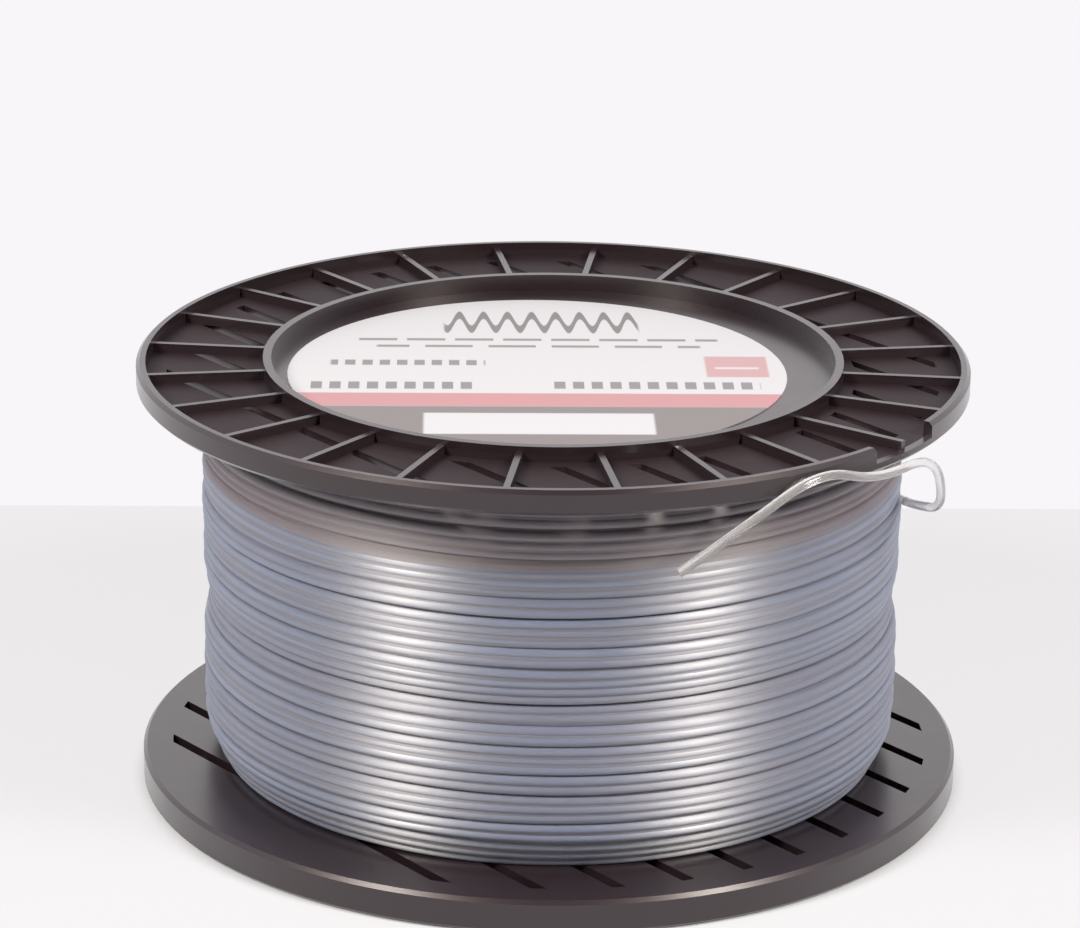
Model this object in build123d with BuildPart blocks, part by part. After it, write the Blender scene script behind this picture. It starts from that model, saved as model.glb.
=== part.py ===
"""Moulded spool that carries one wound length of nylon cutting line, with its loose end."""

import os
from math import radians, tan

from build123d import *

os.makedirs("parts", exist_ok=True)

# Spool: one moulding that stands on its base flange, axis along Z
flange_diameter = 220.0
overall_height = 117.0
base_flange_height = 9.0
top_flange_height = 6.5
plate_thickness = 2.5
web_thickness = 2.0
rim_wall = 2.5
rim_chamfer = 1.0
hub_diameter = 90.0
hub_wall = 3.0
ring_diameter = 149.0
ring_wall = 2.2

# Radial ribs out to the rim, set a little below the rim's edge
rib_count = 24
rib_start = 7.5
rib_thickness = 1.7
rib_drop = 1.5

# Parallel slots through both flange plates, all along one pull direction
slot_rows = 11
slot_spacing = 16.6
slot_width = 3.2
slot_direction = -52.0
slot_margin = 3.3
slot_end_margin = 5.5

# Notch in the top rim, with one rib standing free in its middle
notch_angle = -37.5
notch_width = 26.0

# Line: its turns lie in bands with a groove between, and the roll slopes off at its ends and sinks at a waist
line_diameter = 2.4
band_turns = (3, 2, 3, 2, 3, 2, 2, 4, 2, 3, 2, 4, 3, 4)
groove_width = 1.8
groove_depth = 1.5
winding_diameter = 186.0
shoulder_height = 14.0
shoulder_drop = 5.0
waist_level = 53.5
waist_reach = 10.0
waist_depth = 1.6
tail_hold = 30.0

# Label in the top recess, stuck a little off centre
label_diameter = 132.0
label_thickness = 0.3
label_shift = (-4.3, -2.0)

# Route of the loose end, from where it is clear of the roll to its cut end
tail_points = [
    (92.6, -25.7, 85.0),
    (93.1, -37.6, 88.4),
    (99.3, -49.6, 91.5),
    (94.9, -63.4, 111.3),
    (78.3, -82.0, 110.4),
    (63.5, -93.9, 117.2),
    (44.8, -102.6, 105.6),
    (28.5, -107.5, 95.3),
]
bend_share = 0.45

# Radii and levels that follow from the sizes above
flange_radius = flange_diameter / 2
rim_inner_radius = flange_radius - rim_wall
ring_inner_radius = ring_diameter / 2
ring_outer_radius = ring_inner_radius + ring_wall
hub_radius = hub_diameter / 2
bore_radius = hub_radius - hub_wall
base_floor_z = base_flange_height - plate_thickness
top_inner_z = overall_height - top_flange_height
top_floor_z = top_inner_z + plate_thickness
web_top_z = top_inner_z + web_thickness
slot_inner_radius = ring_outer_radius + slot_margin
slot_outer_radius = rim_inner_radius - slot_end_margin

with BuildPart() as spool:
    # Half section of the whole moulding, from the closed top web round to the label recess
    with BuildSketch(Plane.XZ):
        with BuildLine():
            Polyline(
                (0, top_inner_z),
                (bore_radius, top_inner_z),
                (bore_radius, 0),
                (hub_radius, 0),
                (hub_radius, base_floor_z),
                (rim_inner_radius, base_floor_z),
                (rim_inner_radius, 0),
                (flange_radius, 0),
                (flange_radius, base_flange_height),
                (hub_radius, base_flange_height),
                (hub_radius, top_inner_z),
                (flange_radius, top_inner_z),
                (flange_radius, overall_height),
                (rim_inner_radius, overall_height),
                (rim_inner_radius, top_floor_z),
                (ring_outer_radius, top_floor_z),
                (ring_outer_radius, overall_height),
                (ring_inner_radius, overall_height),
                (ring_inner_radius, web_top_z),
                (0, web_top_z),
                close=True,
            )
        make_face()
    revolve(axis=Axis.Z)

    # Broken outer edges of both rims
    chamfer(spool.edges().filter_by(GeomType.CIRCLE).group_by(SortBy.RADIUS)[-1], rim_chamfer)

    # Slots right through each plate, between the ring wall and the rim
    for plate_underside in (base_floor_z, top_inner_z):
        with BuildSketch(Plane.XY.offset(plate_underside).rotated((0, 0, slot_direction))):
            with GridLocations(slot_spacing, slot_spacing, 1, slot_rows):
                Rectangle(flange_diameter, slot_width)
            Circle(slot_outer_radius, mode=Mode.INTERSECT)
            Circle(slot_inner_radius, mode=Mode.SUBTRACT)
        extrude(amount=plate_thickness, mode=Mode.SUBTRACT)

    # Notch through the top rim, down to the floor of the pockets
    with BuildSketch(Plane.XY.offset(top_floor_z).rotated((0, 0, notch_angle))):
        with Locations((flange_radius, 0)):
            Rectangle(4 * rim_wall, notch_width)
    extrude(amount=overall_height - top_floor_z, mode=Mode.SUBTRACT)

    # Ribs on both outer faces: out to the rim from the ring wall on top, from the hub underneath
    rib_outer_end = flange_radius - rim_wall / 2
    for floor_z, rib_height, rib_inner_end in (
        (top_floor_z, overall_height - rib_drop - top_floor_z, ring_outer_radius - ring_wall / 2),
        (base_floor_z, rib_drop - base_floor_z, hub_radius - hub_wall / 2),
    ):
        with BuildSketch(Plane.XY.offset(floor_z)):
            with PolarLocations((rib_inner_end + rib_outer_end) / 2, rib_count, start_angle=rib_start):
                Rectangle(rib_outer_end - rib_inner_end, rib_thickness)
        extrude(amount=rib_height)

spool.part.label = "spool"
export_step(spool.part, "parts/spool.step")

# The roll fills the hub from plate to plate, and what the turns leave of that height parts the bands
traverse = top_inner_z - base_flange_height
band_gap = (traverse - sum(band_turns) * line_diameter) / (len(band_turns) - 1)


def roll_radius(level):
    """Radius over the turns at a level: sloped off towards both plates, and drawn in at the waist."""
    to_plate = min(level - base_flange_height, top_inner_z - level)
    shoulder = max(0, 1 - to_plate / shoulder_height)
    waist = max(0, 1 - abs(level - waist_level) / waist_reach)
    return winding_diameter / 2 - shoulder_drop * shoulder**2 - waist_depth * waist


roll_outline = [(roll_radius(base_flange_height), base_flange_height)]
band_foot = base_flange_height
for turns in band_turns[:-1]:
    band_foot += turns * line_diameter + band_gap
    groove_level = band_foot - band_gap / 2
    for side, depth in ((-1, 0), (0, groove_depth), (1, 0)):
        level = groove_level + side * groove_width / 2
        roll_outline.append((roll_radius(level) - depth, level))
roll_outline.append((roll_radius(top_inner_z), top_inner_z))

tail_start = Vector(*tail_points[0])
leaving = Vector(*tail_points[1]) - tail_start

with BuildPart() as line_winding:
    with BuildSketch(Plane.XZ):
        with BuildLine():
            Polyline(
                (hub_radius, base_flange_height),
                *roll_outline,
                (hub_radius, top_inner_z),
                close=True,
            )
        make_face()
    revolve(axis=Axis.Z)
    # The last turn leaves the roll along a tangent, up to where it is clear
    with BuildSketch(Plane(origin=tail_start, z_dir=leaving)):
        Circle(line_diameter / 2)
    extrude(amount=-tail_hold)

line_winding.part.label = "line_winding"
export_step(line_winding.part, "parts/line_winding.step")

# Each bend of the loose end is as wide as its two runs allow
corners = [Vector(*point) for point in tail_points]
runs = [after - before for before, after in zip(corners, corners[1:])]
bend_radii = [
    bend_share * min(first.length, second.length) / tan(radians(first.get_angle(second)) / 2)
    for first, second in zip(runs, runs[1:])
]

with BuildPart() as line_tail:
    with BuildLine() as route:
        FilletPolyline(*corners, radius=bend_radii)
    with BuildSketch(Plane(origin=route.line @ 0, z_dir=route.line % 0)) as line_section:
        Circle(line_diameter / 2)
    sweep()

line_tail.part.label = "line_tail"
export_step(line_tail.part, "parts/line_tail.step")

with BuildPart() as label:
    with BuildSketch(Plane.XY.offset(web_top_z)):
        with Locations(label_shift):
            Circle(label_diameter / 2)
    extrude(amount=label_thickness)

label.part.label = "label"
export_step(label.part, "parts/label.step")

tail_length = sum(edge.length for edge in route.edges())
print("bend radii", [round(radius, 1) for radius in bend_radii])
print("tail length", round(tail_length, 1), "mm, volume", round(line_tail.part.volume, 1))
print("section times length", round(line_section.sketch.area * tail_length, 1))
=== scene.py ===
"""Black moulded spool wound with grey nylon cutting line, dressed over its CAD frame."""

from math import cos, radians, sin

import bmesh
import bpy
import numpy as np
from bpy.props import FloatProperty, FloatVectorProperty, IntProperty, PointerProperty
from mathutils import Matrix, Vector


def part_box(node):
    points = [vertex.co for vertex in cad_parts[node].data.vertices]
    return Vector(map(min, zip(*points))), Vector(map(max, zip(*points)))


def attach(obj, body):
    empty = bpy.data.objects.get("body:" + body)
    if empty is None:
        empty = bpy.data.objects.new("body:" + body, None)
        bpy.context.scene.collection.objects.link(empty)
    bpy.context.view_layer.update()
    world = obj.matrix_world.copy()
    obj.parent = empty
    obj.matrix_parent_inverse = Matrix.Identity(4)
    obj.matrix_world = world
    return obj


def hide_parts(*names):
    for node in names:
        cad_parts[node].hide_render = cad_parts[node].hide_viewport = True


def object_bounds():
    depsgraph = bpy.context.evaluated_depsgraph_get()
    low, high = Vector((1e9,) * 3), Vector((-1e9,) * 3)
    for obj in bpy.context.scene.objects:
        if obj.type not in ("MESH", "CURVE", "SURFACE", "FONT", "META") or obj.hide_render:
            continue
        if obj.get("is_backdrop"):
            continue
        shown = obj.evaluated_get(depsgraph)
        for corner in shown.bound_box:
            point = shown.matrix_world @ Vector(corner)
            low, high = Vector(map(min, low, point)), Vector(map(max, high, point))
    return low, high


bl_info = {
    "name": "Spool of cutting line",
    "version": (1, 0, 0),
    "blender": (4, 5, 0),
    "location": "3D View > Sidebar > Spool",
    "description": "Dresses a moulded spool, its wound line, loose end and label for a studio picture",
    "category": "Object",
}

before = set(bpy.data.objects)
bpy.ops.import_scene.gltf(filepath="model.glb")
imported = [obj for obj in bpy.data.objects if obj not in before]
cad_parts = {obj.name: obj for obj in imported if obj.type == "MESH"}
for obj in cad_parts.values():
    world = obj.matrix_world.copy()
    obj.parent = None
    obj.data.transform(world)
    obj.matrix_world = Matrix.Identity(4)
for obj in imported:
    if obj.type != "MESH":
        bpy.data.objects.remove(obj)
cad_low, cad_high = (list(corner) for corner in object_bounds())
winding_low, winding_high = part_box("line_winding")
label_low, label_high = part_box("label")

MM = 0.001

# Turns of the outer layer in each band, from the base flange up: a wider gap parts the bands
BAND_TURNS = (3, 2, 3, 2, 3, 2, 2, 4, 2, 3, 2, 4, 3, 4)

# Route of the loose end, the same points as in the part's source, in metres
TAIL_POINTS = (
    (0.0926, -0.0257, 0.0850),
    (0.0931, -0.0376, 0.0884),
    (0.0993, -0.0496, 0.0915),
    (0.0949, -0.0634, 0.1113),
    (0.0783, -0.0820, 0.1104),
    (0.0635, -0.0939, 0.1172),
    (0.0448, -0.1026, 0.1056),
    (0.0285, -0.1075, 0.0953),
)


def length(name, description, default):
    """A length setting, in metres."""
    return FloatProperty(name=name, description=description, default=default, unit="LENGTH", precision=5)


def colour(name, description, default):
    """A colour setting, in linear values."""
    return FloatVectorProperty(name=name, description=description, default=default, size=3, subtype="COLOR",
                               min=0.0, max=1.0)


class MouldingSettings(bpy.types.PropertyGroup):
    """Finish of the moulded spool."""

    plastic: colour("Plastic", "Colour of the black moulded plastic", (0.0165, 0.0098, 0.0128))
    roughness: FloatProperty(name="Roughness", description="Mean roughness of the moulded skin", default=0.36,
                             subtype="FACTOR", min=0.0, max=1.0)
    pocket_floor: length("Pocket floor", "Level of the dull floors between the top flange's ribs", 0.1129)
    pocket_depth: length("Pocket depth", "Height of the dull part of the pockets' walls", 0.0018)
    pocket_inside: length("Pocket inside", "Radius at which the pockets begin, outside the ring wall", 0.0763)
    pocket_outside: length("Pocket outside", "Radius at which the pockets end, at the rim", 0.1078)
    edge_round: length("Edge rounding", "Rounding of the moulding's edges", 0.0004)


class LineSettings(bpy.types.PropertyGroup):
    """Sizes and finish of the wound line."""

    diameter: length("Line diameter", "Thickness of the line", 0.0024)
    crest: length("Roll radius", "Radius over the outer layer", winding_high.y)
    foot: length("Lowest turn", "Level of the base flange's inner face", winding_low.z)
    head: length("Highest turn", "Level of the top flange's inner face", winding_high.z)
    shoulder_height: length("Shoulder height", "Stretch at each plate over which the roll slopes off", 0.014)
    shoulder_drop: length("Shoulder drop", "How far the roll has sloped off where it meets a plate", 0.005)
    waist_level: length("Waist level", "Height at which the roll is drawn in", 0.0535)
    waist_reach: length("Waist reach", "Half height of the drawn-in stretch", 0.010)
    waist_depth: length("Waist depth", "How far the roll is drawn in at its waist", 0.0016)
    fill: length("Fill", "Depth at which the layer below closes the gap between two turns", 0.0004)
    groove: length("Groove", "Depth of the groove between two bands", 0.0015)
    wander: length("Wander", "How far a turn strays up and down on its way round", 0.00016)
    lift: length("Lift", "How far turns lie in or out of the layer", 0.00022)
    seed: IntProperty(name="Seed", description="Start value of the turns' unevenness", default=7)
    pale: colour("Pale nylon", "Colour of the palest turns", (0.146, 0.188, 0.295))
    # Dark colour: the turns' own darker tone, and painted shade on the top turns under the top plate, over
    # the reach above the level
    dark_tone_and_shade: colour("Dark nylon and painted shade", "Colour of the darkest turns", (0.140, 0.098, 0.113))
    painted_shade_level: length("Painted shade level", "Height from which the turns darken to the top plate", 0.0885)
    painted_shade_reach: length("Painted shade reach", "Height over which they darken", 0.003)


class LabelSettings(bpy.types.PropertyGroup):
    """Colours of the round label."""

    paper: colour("Paper", "Colour of the pale upper field", (0.60, 0.62, 0.68))
    ink: colour("Ink", "Colour of the grey bars", (0.11, 0.105, 0.11))
    stripe: colour("Stripe", "Colour of the stripe across the label", (0.50, 0.235, 0.265))
    field: colour("Dark field", "Colour of the lower field", (0.19, 0.168, 0.18))


class StudioSettings(bpy.types.PropertyGroup):
    """Camera, lamps and floor."""

    camera_place: FloatVectorProperty(name="Camera place", description="Where the camera stands", size=3,
                                      default=(-0.02655, -1.0866, 0.4582), subtype="TRANSLATION")
    camera_aim: FloatVectorProperty(name="Camera aim", description="Direction the camera looks in", size=3,
                                    default=(0.0203, 0.9459, -0.3237), subtype="DIRECTION")
    camera_roll: FloatProperty(name="Camera roll", description="Turn of the camera about its aim",
                               default=radians(0.6135), subtype="ANGLE")
    lens: FloatProperty(name="Lens", description="Focal length on a 36 mm wide sensor, in millimetres",
                        default=143.58)
    lamp_swing: FloatProperty(name="Lamp swing", description="Angle of each lamp from the camera's side",
                              default=radians(54.0), subtype="ANGLE")
    lamp_height: FloatProperty(name="Lamp elevation", description="Angle of each lamp above the floor",
                               default=radians(40.0), subtype="ANGLE")
    lamp_power: FloatProperty(name="Lamp power", description="Power of each soft lamp", default=18.0,
                              subtype="POWER")
    lamp_colour: colour("Lamp colour", "Warm white of the soft lamps", (1.0, 0.92, 0.83))
    backdrop: colour("Backdrop", "Colour behind the floor", (0.94, 0.92, 0.945))
    dim_side: colour("Dim side", "Colour of the unlit room on the camera's side", (0.12, 0.115, 0.12))
    floor: colour("Floor", "Colour the floor shows", (0.95, 0.935, 0.945))
    floor_paint: colour("Floor paint", "Colour of the floor's lit part", (0.58, 0.60, 0.64))


class Wire:
    """A node's output that takes part in sums like a number, each operation adding a Math node."""

    def __init__(self, tree, socket):
        self.tree = tree
        self.socket = socket

    def math(self, operation, *terms):
        node = self.tree.nodes.new("ShaderNodeMath")
        node.operation = operation
        for inlet, term in zip(node.inputs, terms):
            feed(self.tree, inlet, term)
        return Wire(self.tree, node.outputs[0])

    def __add__(self, other):
        return self.math("ADD", self, other)

    def __radd__(self, other):
        return self.math("ADD", other, self)

    def __sub__(self, other):
        return self.math("SUBTRACT", self, other)

    def __rsub__(self, other):
        return self.math("SUBTRACT", other, self)

    def __mul__(self, other):
        return self.math("MULTIPLY", self, other)

    def __rmul__(self, other):
        return self.math("MULTIPLY", other, self)

    def __truediv__(self, other):
        return self.math("DIVIDE", self, other)

    def __abs__(self):
        return self.math("ABSOLUTE", self)

    def __lt__(self, other):
        return self.math("LESS_THAN", self, other)

    def __mod__(self, other):
        return self.math("FLOORED_MODULO", self, other)

    def sine(self):
        return self.math("SINE", self)

    def root(self):
        return self.math("SQRT", self)

    def either(self, other):
        return self.math("MAXIMUM", self, other)


def feed(tree, inlet, value):
    """Link a Wire to an inlet, or set the inlet's own value."""
    if isinstance(value, Wire):
        tree.links.new(value.socket, inlet)
    elif isinstance(value, (tuple, list)) and inlet.type == "RGBA" and len(value) == 3:
        inlet.default_value = (*value, 1.0)
    else:
        inlet.default_value = value


class Finish:
    """A node tree being filled, for a material or for the world."""

    def __init__(self, owner):
        owner.use_nodes = True
        self.tree = owner.node_tree
        self.tree.nodes.clear()

    def node(self, kind, settings=None, inputs=None, outlet=None):
        """Make a node of any type: its settings, then its inputs by name; gives one outlet as a Wire."""
        made = self.tree.nodes.new(kind)
        for key, value in (settings or {}).items():
            setattr(made, key, value)
        for key, value in (inputs or {}).items():
            inlet = next(s for s in made.inputs if s.enabled and key in (s.name, s.identifier))
            feed(self.tree, inlet, value)
        outlets = [s for s in made.outputs if s.enabled and outlet in (None, s.name)]
        return Wire(self.tree, outlets[0]) if outlets else None

    def place(self):
        """Object coordinates as three Wires, and the vector."""
        spot = self.node("ShaderNodeTexCoord", outlet="Object")
        split = self.tree.nodes.new("ShaderNodeSeparateXYZ")
        feed(self.tree, split.inputs[0], spot)
        return [Wire(self.tree, s) for s in split.outputs], spot

    def blend(self, factor, first, second):
        """Colour that goes from first to second as factor goes from 0 to 1."""
        return self.node("ShaderNodeMix", {"data_type": "RGBA"}, {"Factor": factor, "A": first, "B": second})

    def ramp(self, value, low, high):
        """0 below low, 1 above high, and a smooth step between."""
        return self.node("ShaderNodeMapRange", {"interpolation_type": "SMOOTHSTEP"},
                         {"Value": value, "From Min": low, "From Max": high})

    def surface(self, inputs):
        """A Principled shader with these inputs, wired to the material's output."""
        shader = self.node("ShaderNodeBsdfPrincipled", inputs=inputs)
        self.node("ShaderNodeOutputMaterial", inputs={"Surface": shader})


def black_plastic(settings):
    """Moulded black plastic: one colour, a little uneven in gloss, with dull pockets between the top ribs."""
    material = bpy.data.materials.new("black_plastic")
    finish = Finish(material)
    (x, y, z), spot = finish.place()
    out = (x * x + y * y).root()

    def between(value, low, high, soft=0.0003):
        return finish.ramp(value, low - soft, low) * (1 - finish.ramp(value, high, high + soft))

    dull = between(z, settings.pocket_floor, settings.pocket_floor + settings.pocket_depth)
    dull = dull * between(out, settings.pocket_inside, settings.pocket_outside)
    mottle = finish.node("ShaderNodeTexNoise", inputs={"Vector": spot, "Scale": 60.0, "Detail": 3.0},
                         outlet="Fac")
    grain = finish.node("ShaderNodeTexNoise", inputs={"Vector": spot, "Scale": 1400.0, "Detail": 2.0},
                        outlet="Fac")
    skin = finish.node("ShaderNodeBump", inputs={"Strength": 0.12, "Distance": 0.0002, "Height": grain})
    finish.surface({
        "Base Color": tuple(settings.plastic),
        "Roughness": settings.roughness + 0.16 * (mottle - 0.5) + 0.2 * dull,
        "IOR": 1.53,
        "Specular IOR Level": 0.32,
        "Specular Tint": (1.0, 0.87, 0.91),
        "Coat Weight": 1 - dull,
        "Coat Roughness": 0.26,
        "Normal": skin,
    })
    return material


def nylon_line(settings):
    """Wound nylon: blue grey, each turn a little lighter or darker by its own attribute, and the turns under
    the top plate darkened as painted shade.

    The index of refraction is above nylon's own, for the light that comes back through the clear turns.
    """
    material = bpy.data.materials.new("nylon_line")
    finish = Finish(material)
    shade = finish.node("ShaderNodeAttribute", {"attribute_name": "turn_shade"}, outlet="Fac")
    finish.surface({
        # Base colour: the turns' own tone, and painted shade on the top turns under the top plate, through
        # turn_shade
        "Base Color": finish.blend(shade, tuple(settings.dark_tone_and_shade), tuple(settings.pale)),
        "Roughness": 0.84 - 0.36 * shade,
        "IOR": 2.15,
        "Specular IOR Level": 1.0,
        "Anisotropic": 0.92,
        "Anisotropic Rotation": 0.25,
        "Subsurface Weight": 0.5,
        "Subsurface Radius": (0.9, 0.9, 1.0),
        "Subsurface Scale": 0.0012,
    })
    return material


def clear_line():
    """Line off the roll, up to its cut end: the same nylon with light coming through it."""
    material = bpy.data.materials.new("clear_line")
    finish = Finish(material)
    finish.surface({
        "Base Color": (0.95, 0.95, 0.96),
        "Roughness": 0.14,
        "IOR": 1.5,
        "Transmission Weight": 0.86,
    })
    return material


def label_print(settings):
    """Round label: pale field with grey bars and a wavy line, a stripe, and a dark field with a blank panel.

    Places on the label are in millimetres from the spool's axis.
    """
    material = bpy.data.materials.new("label_print")
    finish = Finish(material)
    (x, y, _), _ = finish.place()
    x, y = x / MM, y / MM

    def band(value, low, high, soft=0.5):
        return finish.ramp(value, low - soft, low + soft) * (1 - finish.ramp(value, high - soft, high + soft))

    def dashes(left, right, low, high, period, share):
        return band(x, left, right) * band(y, low, high) * ((x % period) < period * share)

    wave = band(x, -29.0, 24.0) * (1 - finish.ramp(abs(y - 42.5 - 6.5 * (x * 0.95).sine()), 2.8, 4.2))
    rows = dashes(-52.0, 45.0, 25.5, 27.5, 13.0, 0.8)
    rows = rows.either(dashes(-47.0, 40.0, 19.5, 21.5, 17.0, 0.75))
    rows = rows.either(dashes(-59.0, -18.0, 3.5, 8.0, 4.6, 0.6))
    rows = rows.either(dashes(-64.0, -21.0, -17.0, -11.0, 4.9, 0.6))
    rows = rows.either(dashes(-1.0, 54.0, -16.5, -10.5, 4.9, 0.6))
    block = band(x, 40.5, 57.0) * band(y, -6.0, 12.0) * (1 - band(y, 1.0, 2.6) * band(x, 43.0, 54.5))
    stripe = band(y, -31.5, -20.5)
    low_field = 1 - finish.ramp(y, -32.0, -31.0)
    panel = band(x, -34.0, 25.0) * band(y, -54.0, -37.0)

    skin = finish.blend(rows * 0.8, tuple(settings.paper), tuple(settings.ink))
    skin = finish.blend(wave * 0.9, skin, tuple(settings.ink))
    skin = finish.blend(block * 0.8, skin, tuple(settings.stripe))
    skin = finish.blend(stripe, skin, tuple(settings.stripe))
    skin = finish.blend(low_field, skin, tuple(settings.field))
    skin = finish.blend(panel, skin, tuple(settings.paper))
    finish.surface({"Base Color": skin, "Roughness": 0.28, "IOR": 1.5})
    return material


def mesh_object(name, points, faces, material, smooth=True):
    """A new object at the origin from an array of points and lists of faces."""
    mesh = bpy.data.meshes.new(name)
    mesh.from_pydata(points.tolist(), [], [face for block in faces for face in np.asarray(block).tolist()])
    mesh.polygons.foreach_set("use_smooth", np.full(len(mesh.polygons), smooth))
    mesh.materials.append(material)
    mesh.update()
    made = bpy.data.objects.new(name, mesh)
    bpy.context.scene.collection.objects.link(made)
    return made


def grid_faces(rows, columns):
    """Quads of a grid of rows by columns points, each row closed on itself."""
    row, column = np.meshgrid(np.arange(rows - 1), np.arange(columns), indexing="ij")
    here = row * columns + column
    beside = row * columns + (column + 1) % columns
    return np.stack([here, beside, beside + columns, here + columns], -1).reshape(-1, 4)


def tube(path, radius, sides):
    """A circle carried along a path: point + radius (cos a * outward + sin a * across), both ends closed.

    Outward leads away from the spool's axis, made square to the path, and across is square to both.
    """
    along = np.gradient(path, axis=0)
    along /= np.linalg.norm(along, axis=1, keepdims=True)
    outward = path * (1.0, 1.0, 0.0)
    outward -= along * (outward * along).sum(1, keepdims=True)
    outward /= np.linalg.norm(outward, axis=1, keepdims=True)
    across = np.cross(along, outward)
    angle = np.linspace(0.0, 2 * np.pi, sides, endpoint=False)[None, :, None]
    ring = np.cos(angle) * outward[:, None] + np.sin(angle) * across[:, None]
    points = (path[:, None] + radius * ring).reshape(-1, 3)
    walls = grid_faces(len(path), sides)
    near = np.arange(sides)[None, ::-1]
    far = (len(points) - sides + np.arange(sides))[None]
    return points, [walls, near, far]


def smooth_step(value):
    """0 below 0, 1 above 1, and 3 v^2 - 2 v^3 between."""
    value = np.clip(value, 0.0, 1.0)
    return value * value * (3.0 - 2.0 * value)


# Points round a turn and round the line's section, and the stretch of a turn on which it crosses to the next
TURN_SAMPLES = 192
LINE_SIDES = 10
CROSSING_SHARE = 0.16
CROSSING_ANGLE = radians(105.0)

# Shades from dark (0) to pale (1): range of the turns, share lost at the top plate as painted shade, and the
# layers below
TURN_SHADES = (0.62, 0.98)
PAINTED_SHADE_SHARE = 0.8
CORE_SHADE = 0.5

# The layers below: inner radius, just off the hub, and how finely they are divided
CORE_INSIDE = 0.046
CORE_ROWS = 40
CORE_SIDES = 180


def turn_levels(line):
    """Height of each turn's centre: a diameter apart in a band, and an equal gap more between bands."""
    turns = sum(BAND_TURNS)
    gap = (line.head - line.foot - turns * line.diameter) / (len(BAND_TURNS) - 1)
    first_of_band = np.cumsum((0, *BAND_TURNS))[1:-1]
    steps = np.full(turns, line.diameter)
    steps[first_of_band] += gap
    steps[0] = line.diameter / 2
    return line.foot + np.cumsum(steps)


def roll_radius(line, height):
    """Radius over the turns: the crest, less a square-law slope near both plates, less a tapered waist."""
    to_plate = np.minimum(height - line.foot, line.head - height)
    shoulder = np.clip(1.0 - to_plate / line.shoulder_height, 0.0, 1.0)
    waist = np.clip(1.0 - np.abs(height - line.waist_level) / line.waist_reach, 0.0, 1.0)
    return line.crest - line.shoulder_drop * shoulder**2 - line.waist_depth * smooth_step(waist)


def winding_path(line):
    """The outer layer as one line: level round each turn, then up to the next in a short crossing."""
    chance = np.random.default_rng(line.seed)
    levels = turn_levels(line)
    turns = len(levels)
    count = np.arange((turns - 1) * TURN_SAMPLES + 1) / TURN_SAMPLES
    turn = np.minimum(count.astype(int), turns - 2)
    share = count - turn
    climb = smooth_step((share - 1.0 + CROSSING_SHARE) / CROSSING_SHARE)
    height = levels[turn] + (levels[turn + 1] - levels[turn]) * climb
    angle = CROSSING_ANGLE + 2 * np.pi * count
    nodes = np.arange(turns + 1)
    phase = np.interp(count, nodes, np.cumsum(chance.normal(0.0, 0.7, turns + 1)))
    height += line.wander * (np.sin(2 * angle + phase) + 0.6 * np.sin(5 * angle + 2.3 * phase))
    height = np.clip(height, line.foot + line.diameter / 2, line.head - line.diameter / 2)
    lift = np.interp(count, nodes, chance.normal(0.0, 1.0, turns + 1))
    radius = roll_radius(line, height) - line.diameter / 2 + line.lift * np.clip(lift, -1.4, 1.0)
    path = np.stack([radius * np.cos(angle), radius * np.sin(angle), height], -1)
    shade = np.interp(count, nodes, chance.uniform(*TURN_SHADES, turns + 1))
    # Painted shade: the turns darken towards the top plate
    shade *= 1.0 - PAINTED_SHADE_SHARE * smooth_step((height - line.painted_shade_level) / line.painted_shade_reach)
    return path, shade


def leaving_path(line):
    """The last turn: it comes up from between the others, climbs, and leaves the roll along a tangent."""
    reach, tuck, sweep = 0.030, 0.0014, radians(30.0)
    start, second = (np.array(point) for point in TAIL_POINTS[:2])
    along = (second - start) / np.linalg.norm(second - start)
    parting = start - reach * along
    parting_angle = np.arctan2(parting[1], parting[0])
    back = np.linspace(1.0, 0.0, 40)
    angle = parting_angle + sweep * back
    parting_radius = np.hypot(parting[0], parting[1])
    radius = parting_radius - tuck * back**2
    rise = along[2] * parting_radius * sweep / 2
    height = parting[2] - rise * (2 * back - back**2)
    on_roll = np.stack([radius * np.cos(angle), radius * np.sin(angle), height], -1)
    free = parting + reach * np.linspace(0.0, 1.0, 12)[1:, None] * along
    return np.concatenate([on_roll, free])


def core_surface(line):
    """The layers below: the roll's outline less a shallow fill, and less a groove between bands."""
    clear = 0.00002
    levels = turn_levels(line)
    first_of_band = np.cumsum(BAND_TURNS)[:-1]
    grooves = (levels[first_of_band - 1] + levels[first_of_band]) / 2
    sides = grooves[:, None] + line.diameter / 2 * np.array([-1.0, 0.0, 1.0])
    plain = np.linspace(line.foot + clear, line.head - clear, CORE_ROWS)
    height = np.sort(np.concatenate([plain, sides.ravel()]))
    to_groove = np.abs(height[:, None] - grooves).min(1)
    near_groove = np.clip(1.0 - 2 * to_groove / line.diameter, 0.0, 1.0)
    depth = line.fill + (line.groove - line.fill) * near_groove
    outer = np.stack([roll_radius(line, height) - depth, height], -1)
    hub = np.array([(CORE_INSIDE, line.foot + clear), (CORE_INSIDE, line.head - clear)])
    closed = np.concatenate([hub[:1], outer, hub[1:], hub[:1]])
    angle = np.linspace(0.0, 2 * np.pi, CORE_SIDES, endpoint=False)
    points = np.stack([closed[:, :1] * np.cos(angle), closed[:, :1] * np.sin(angle),
                       np.repeat(closed[:, 1:], len(angle), 1)], -1)
    return points.reshape(-1, 3), [grid_faces(len(closed), len(angle))]


def joined(*shapes):
    """Several (points, faces) shapes as one, with the faces' numbers moved on."""
    points, faces, start = [], [], 0
    for shape_points, shape_faces in shapes:
        points.append(shape_points)
        faces.extend(np.asarray(block) + start for block in shape_faces)
        start += len(shape_points)
    return np.concatenate(points), faces


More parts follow.
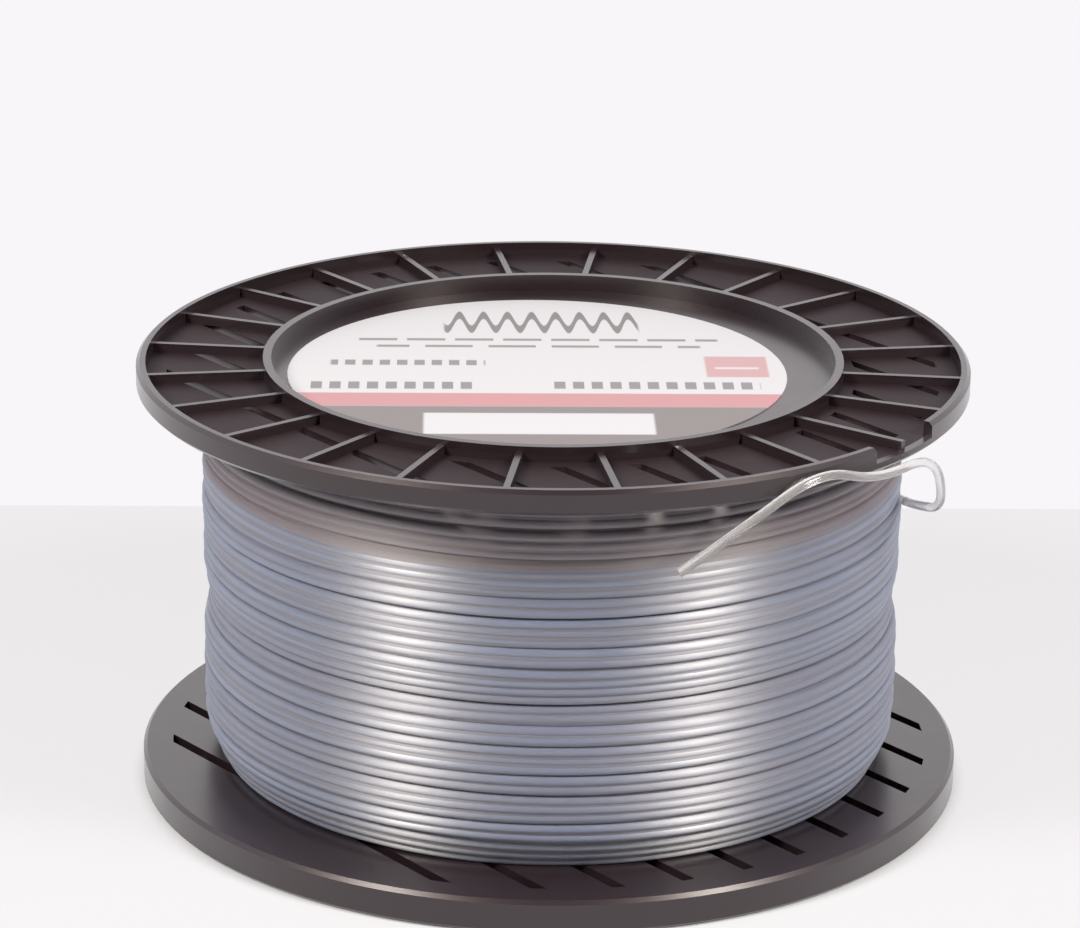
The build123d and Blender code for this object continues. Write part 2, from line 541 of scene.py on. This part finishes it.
class SPOOL_OT_moulding(bpy.types.Operator):
    """Round the edges of the moulded spool and give it its black plastic"""

    bl_idname = "spool.moulding"
    bl_label = "Moulded spool"

    def execute(self, context):
        settings = context.scene.spool_moulding
        weld, flat = 0.000002, radians(0.4)
        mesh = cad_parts["spool"].data.copy()
        form = bmesh.new()
        form.from_mesh(mesh)
        bmesh.ops.remove_doubles(form, verts=form.verts, dist=weld)
        bmesh.ops.dissolve_limit(form, angle_limit=flat, verts=form.verts, edges=form.edges)
        form.to_mesh(mesh)
        form.free()
        mesh.materials.clear()
        mesh.materials.append(black_plastic(settings))
        moulding = bpy.data.objects.new("spool_moulding", mesh)
        context.scene.collection.objects.link(moulding)
        rounding = moulding.modifiers.new("rounding", "BEVEL")
        rounding.width = settings.edge_round
        rounding.segments = 2
        rounding.limit_method = "ANGLE"
        rounding.angle_limit = radians(40.0)
        mesh.polygons.foreach_set("use_smooth", np.full(len(mesh.polygons), True))
        moulding.modifiers.new("even_normals", "WEIGHTED_NORMAL")
        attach(moulding, "root")
        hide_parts("spool")
        return {"FINISHED"}


class SPOOL_OT_winding(bpy.types.Operator):
    """Lay the outer layer of line turn by turn over the layers below, and lead its last turn off the roll"""

    bl_idname = "spool.winding"
    bl_label = "Wound line"

    def execute(self, context):
        line = context.scene.spool_line
        path, shade = winding_path(line)
        layer = tube(path, line.diameter / 2, LINE_SIDES)
        core = core_surface(line)
        points, faces = joined(layer, core)
        winding = mesh_object("wound_line", points, faces, nylon_line(line))
        # The layers below keep one tone, darkened towards the top plate as painted shade
        core_shade = CORE_SHADE * (1.0 - smooth_step((core[0][:, 2] - line.painted_shade_level) / line.painted_shade_reach))
        values = np.concatenate([np.repeat(shade, LINE_SIDES), core_shade])
        winding.data.attributes.new("turn_shade", "FLOAT", "POINT").data.foreach_set("value", values)
        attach(winding, "root")
        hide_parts("line_winding")
        leaving = mesh_object("leaving_line", *tube(leaving_path(line), line.diameter / 2, LINE_SIDES),
                              clear_line())
        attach(leaving, "root")
        return {"FINISHED"}


class SPOOL_OT_tail(bpy.types.Operator):
    """Run the loose end of the line up from the roll, along the rim and down to its cut end"""

    bl_idname = "spool.tail"
    bl_label = "Loose end"

    def execute(self, context):
        line = context.scene.spool_line
        curve = bpy.data.curves.new("loose_end", "CURVE")
        curve.dimensions = "3D"
        curve.bevel_depth = line.diameter / 2
        curve.bevel_resolution = 7
        curve.resolution_u = 24
        curve.use_fill_caps = True
        route = curve.splines.new("NURBS")
        route.points.add(len(TAIL_POINTS) - 1)
        for knot, point in zip(route.points, TAIL_POINTS):
            knot.co = (*point, 1.0)
        route.order_u = 3
        route.use_endpoint_u = True
        curve.materials.append(bpy.data.materials["clear_line"])
        tail = bpy.data.objects.new("loose_end", curve)
        context.scene.collection.objects.link(tail)
        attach(tail, "root")
        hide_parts("line_tail")
        return {"FINISHED"}


class SPOOL_OT_label(bpy.types.Operator):
    """Stick the round label in the recess of the top flange"""

    bl_idname = "spool.label"
    bl_label = "Round label"

    def execute(self, context):
        settings = context.scene.spool_label
        centre = (label_low + label_high) / 2
        radius = (label_high.x - label_low.x) / 2
        angle = np.linspace(0.0, 2 * np.pi, 160, endpoint=False)
        middle, shoulder, edge_drop, clear = 0.02, 0.998, 0.0001, 0.00002
        profile = np.array([(middle, label_low.z), (1.0, label_low.z), (1.0, label_high.z - edge_drop),
                            (shoulder, label_high.z), (middle, label_high.z)])
        points = np.stack([centre.x + radius * profile[:, :1] * np.cos(angle),
                           centre.y + radius * profile[:, :1] * np.sin(angle),
                           np.repeat(profile[:, 1:], len(angle), 1)], -1).reshape(-1, 3)
        points[:, 2] = np.maximum(points[:, 2], label_low.z + clear)
        first = np.arange(len(angle))[None, ::-1]
        last = (len(points) - len(angle) + np.arange(len(angle)))[None]
        disc = mesh_object("round_label", points, [grid_faces(len(profile), len(angle)), first, last],
                           label_print(settings), smooth=False)
        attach(disc, "root")
        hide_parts("label")
        return {"FINISHED"}


LAMP_DISTANCE = 1.3
LAMP_SIZE = (0.28, 0.5)
LAMP_TARGET = (0.0, 0.0, 0.06)

# The floor runs this far to the front and the sides, and this far to the back, just below the spool's foot
FLOOR_REACH = 3.0
FLOOR_BACK = 0.21
FLOOR_DROP = 0.0001

# Share of its own colour that the floor shows, and the softness of that share's edge round the spool
FLOOR_SHOWN = 0.75
FLOOR_EDGE = 0.004

# Strength of the studio's walls as a light, next to what the camera sees of them
WALL_LIGHT = 0.25


def soft_lamp(name, swing, elevation, power, tint):
    """A rectangular area lamp at an angle from the camera's side, aimed at the middle of the spool."""
    lamp = bpy.data.lights.new(name, "AREA")
    lamp.shape = "RECTANGLE"
    lamp.size, lamp.size_y = LAMP_SIZE
    lamp.energy = power
    lamp.color = tint
    target = Vector(LAMP_TARGET)
    toward = Vector((sin(swing) * cos(elevation), -cos(swing) * cos(elevation), sin(elevation)))
    spot = target + LAMP_DISTANCE * toward
    made = bpy.data.objects.new(name, lamp)
    turn = (target - spot).to_track_quat("-Z", "Y").to_matrix().to_4x4()
    made.matrix_world = Matrix.Translation(spot) @ turn
    bpy.context.scene.collection.objects.link(made)


def seen_directly(finish):
    """Two Wires: 1 for the camera's rays, and 1 for these and rays of a reflection or through clear line."""
    camera = finish.node("ShaderNodeLightPath", outlet="Is Camera Ray")
    glossy = finish.node("ShaderNodeLightPath", outlet="Is Glossy Ray")
    through = finish.node("ShaderNodeLightPath", outlet="Is Transmission Ray")
    return camera, camera.either(glossy).either(through)


def studio_world(studio):
    """White behind the object and dim on the camera's side; the camera sees the backdrop's colour alone."""
    world = bpy.data.worlds.new("studio")
    finish = Finish(world)
    spot = finish.node("ShaderNodeTexCoord", outlet="Generated")
    split = finish.tree.nodes.new("ShaderNodeSeparateXYZ")
    feed(finish.tree, split.inputs[0], spot)
    behind = finish.ramp(Wire(finish.tree, split.outputs[1]), -0.25, 0.45)
    camera, seen = seen_directly(finish)
    around = finish.blend(behind.either(camera), tuple(studio.dim_side), tuple(studio.backdrop))
    strength = WALL_LIGHT + (1.0 - WALL_LIGHT) * seen
    light = finish.node("ShaderNodeBackground", inputs={"Color": around, "Strength": strength})
    finish.node("ShaderNodeOutputWorld", inputs={"Surface": light})
    bpy.context.scene.world = world


def pale_floor(studio):
    """Floor that shows mostly its own colour, with a part of the light and shade that falls on it.

    Under the spool it shows only that light and shade.
    """
    material = bpy.data.materials.new("pale_floor")
    finish = Finish(material)
    _, seen = seen_directly(finish)
    (x, y, _), _ = finish.place()
    out = (x * x + y * y).root()
    in_the_open = finish.ramp(out, cad_high[0] - FLOOR_EDGE, cad_high[0] + FLOOR_EDGE)
    lit = finish.node("ShaderNodeBsdfDiffuse", inputs={"Color": tuple(studio.floor_paint)})
    shown = finish.node("ShaderNodeEmission", inputs={"Color": tuple(studio.floor), "Strength": 1.0})
    both = finish.node("ShaderNodeMixShader", inputs={
        "Fac": FLOOR_SHOWN * seen * in_the_open,
        "Shader": lit,
        "Shader_001": shown,
    })
    finish.node("ShaderNodeOutputMaterial", inputs={"Surface": both})
    return material


class SPOOL_OT_studio(bpy.types.Operator):
    """Set the floor, the soft lamps and the camera"""

    bl_idname = "spool.studio"
    bl_label = "Studio"

    def execute(self, context):
        studio = context.scene.spool_studio
        corners = np.array([
            (-FLOOR_REACH, -FLOOR_REACH, -FLOOR_DROP),
            (FLOOR_REACH, -FLOOR_REACH, -FLOOR_DROP),
            (FLOOR_REACH, FLOOR_BACK, -FLOOR_DROP),
            (-FLOOR_REACH, FLOOR_BACK, -FLOOR_DROP),
        ])
        floor = mesh_object("floor", corners, [[(0, 1, 2, 3)]], pale_floor(studio), smooth=False)
        floor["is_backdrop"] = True
        for name, side in (("left_lamp", -1.0), ("right_lamp", 1.0)):
            soft_lamp(name, side * studio.lamp_swing, studio.lamp_height, studio.lamp_power,
                      tuple(studio.lamp_colour))
        studio_world(studio)
        self.stand_camera(context, studio)
        context.scene.view_settings.view_transform = "Standard"
        return {"FINISHED"}

    def stand_camera(self, context, studio):
        """Camera at the photograph's place: aim, level right and up, then a small roll."""
        data = bpy.data.cameras.new("camera")
        data.sensor_fit = "HORIZONTAL"
        data.sensor_width = 36.0
        data.lens = studio.lens
        aim = Vector(studio.camera_aim).normalized()
        right = aim.cross(Vector((0.0, 0.0, 1.0))).normalized()
        up = right.cross(aim)
        roll = studio.camera_roll
        right, up = cos(roll) * right + sin(roll) * up, cos(roll) * up - sin(roll) * right
        turn = Matrix((right, up, -aim)).transposed().to_4x4()
        camera = bpy.data.objects.new("camera", data)
        camera.matrix_world = Matrix.Translation(Vector(studio.camera_place)) @ turn
        context.scene.collection.objects.link(camera)
        context.scene.camera = camera


class SPOOL_PT_pieces(bpy.types.Panel):
    """The spool's pieces, in the order they are made"""

    bl_idname = "SPOOL_PT_pieces"
    bl_label = "Spool of line"
    bl_space_type = "VIEW_3D"
    bl_region_type = "UI"
    bl_category = "Spool"

    def draw(self, context):
        for operator in OPERATORS:
            self.layout.operator(operator.bl_idname)


OPERATORS = (SPOOL_OT_moulding, SPOOL_OT_winding, SPOOL_OT_tail, SPOOL_OT_label, SPOOL_OT_studio)
SETTINGS = {
    "spool_moulding": MouldingSettings,
    "spool_line": LineSettings,
    "spool_label": LabelSettings,
    "spool_studio": StudioSettings,
}


def register():
    for group in SETTINGS.values():
        bpy.utils.register_class(group)
    for name, group in SETTINGS.items():
        setattr(bpy.types.Scene, name, PointerProperty(type=group))
    for made in (*OPERATORS, SPOOL_PT_pieces):
        bpy.utils.register_class(made)


def unregister():
    for made in (SPOOL_PT_pieces, *OPERATORS):
        bpy.utils.unregister_class(made)
    for name, group in SETTINGS.items():
        delattr(bpy.types.Scene, name)
        bpy.utils.unregister_class(group)


def main():
    """Register the settings and make every piece in order."""
    register()
    bpy.ops.spool.moulding()
    bpy.ops.spool.winding()
    bpy.ops.spool.tail()
    bpy.ops.spool.label()
    bpy.ops.spool.studio()


if __name__ == "__main__":
    main()
